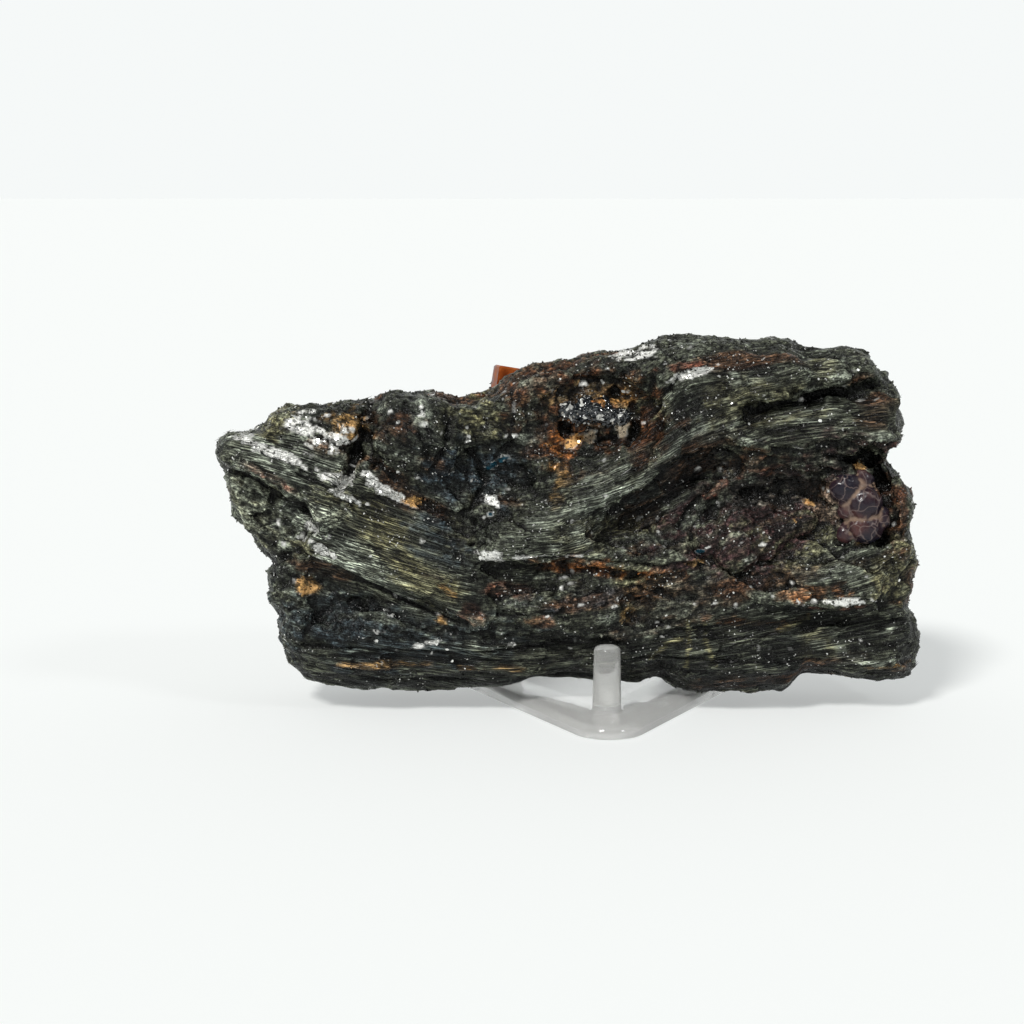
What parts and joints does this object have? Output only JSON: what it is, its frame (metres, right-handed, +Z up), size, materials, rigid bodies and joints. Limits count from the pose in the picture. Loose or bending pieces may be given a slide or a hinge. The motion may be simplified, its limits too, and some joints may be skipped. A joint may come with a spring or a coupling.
{
  "type": "botryoidal zircon specimen",
  "caption": "Dark fibrous rock with rounded purple-brown zircon and an orange-brown zircon crystal, standing on its long edge between the pegs of a small clear stand.",
  "frame": {"origin": "on the surface that the stand stands on, under the middle of the object", "axes": "+X along the specimen's length, +Y towards its back, +Z up; the shown face looks towards -Y"},
  "size_m": [0.0702, 0.0282, 0.0374],
  "materials": {
    "dark_rock": "rough, fibrous, with small glints",
    "orange_zircon": "glassy",
    "purple_zircon": "greasy to glassy",
    "dark_glassy_mineral": "glassy",
    "clear_plastic": "clear, faintly scratched"
  },
  "bodies": {
    "root": {"matrix_rock": "dark_rock", "zircon_crystal": "orange_zircon", "zircon_knobs_right": "purple_zircon", "zircon_knobs_centre": "purple_zircon", "glassy_pocket_grains": "dark_glassy_mineral", "acrylic_stand": "clear_plastic"}
  },
  "joints": []
}
